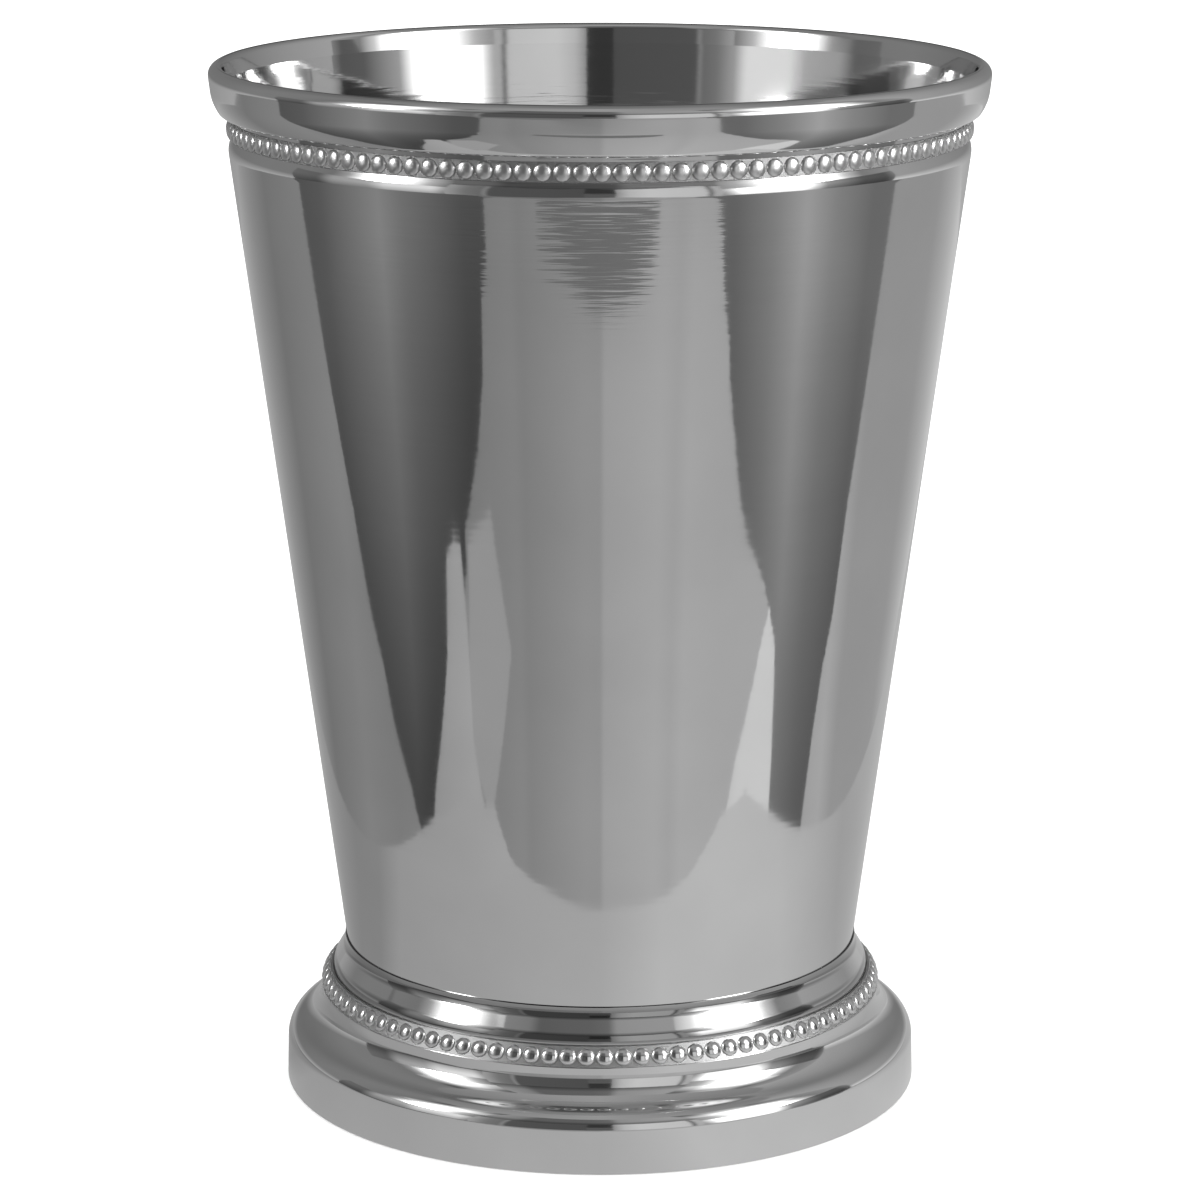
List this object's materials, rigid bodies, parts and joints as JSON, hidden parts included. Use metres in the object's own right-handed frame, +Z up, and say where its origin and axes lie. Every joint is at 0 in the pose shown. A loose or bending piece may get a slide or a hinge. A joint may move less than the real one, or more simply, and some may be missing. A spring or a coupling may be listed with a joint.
{
  "type": "julep cup",
  "caption": "Polished metal julep cup: a tapered round beaker with a moulded lip, beaded wire below the lip and round the stepped foot; holds a cold drink or a posy.",
  "frame": {"origin": "centre of the foot's underside, on the surface that the cup stands on", "axes": "+Z up along the cup's axis; the cup is round, so X and Y are free, and the picture looks along +Y"},
  "size_m": [0.0824, 0.0824, 0.1115],
  "materials": {
    "body_metal": "mirror-polished nickel plate over spun sheet, with faint spinning ripples",
    "trim_metal": "mirror-polished nickel plate",
    "base_metal": "satin nickel plate"
  },
  "bodies": {
    "root": {"cup_body": "body_metal", "lip_band": "trim_metal", "lip_beading": "trim_metal", "foot": "trim_metal", "foot_beading": "trim_metal", "base_plate": "base_metal"}
  },
  "joints": []
}
